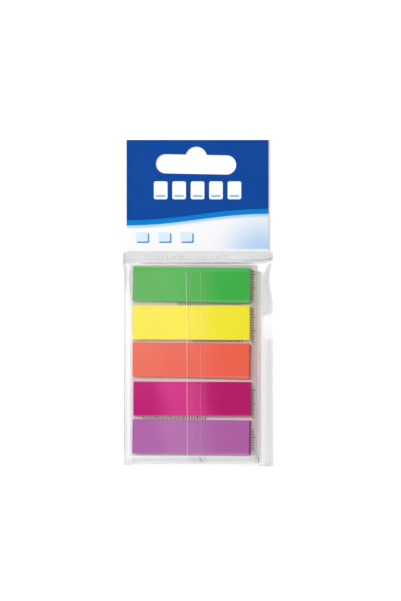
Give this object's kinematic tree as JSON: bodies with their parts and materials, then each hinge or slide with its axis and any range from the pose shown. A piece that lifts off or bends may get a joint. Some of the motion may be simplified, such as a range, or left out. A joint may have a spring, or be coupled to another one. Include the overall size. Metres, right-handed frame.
{
  "type": "pack of page-marker sticky notes",
  "caption": "Clear film hang bag with a printed, slotted header card, holding pads of narrow coloured sticky page markers side by side on a card inside a film sleeve.",
  "frame": {"origin": "under the middle of the bag, on its flat back, which is what the pack lies on", "axes": "+X to the right seen from the front, +Y up the pack towards the hang slot, +Z out of the front"},
  "size_m": [0.0556, 0.1204, 0.0032],
  "materials": {
    "clear_film": "clear, glossy",
    "sleeve_film": "clear, glossy",
    "header_print": "printed, satin",
    "backing_board": "uncoated, matt",
    "green_film": "satin, translucent",
    "yellow_film": "satin, translucent",
    "coral_film": "satin, translucent",
    "magenta_film": "satin, translucent",
    "violet_film": "satin, translucent"
  },
  "bodies": {
    "root": {"back_film": "clear_film", "front_film": "clear_film", "dispenser_sleeve": "sleeve_film", "header_card": "header_print", "backing_card": "backing_board", "pad_green": "green_film", "pad_yellow": "yellow_film", "pad_coral": "coral_film", "pad_magenta": "magenta_film", "pad_violet": "violet_film"}
  },
  "joints": []
}
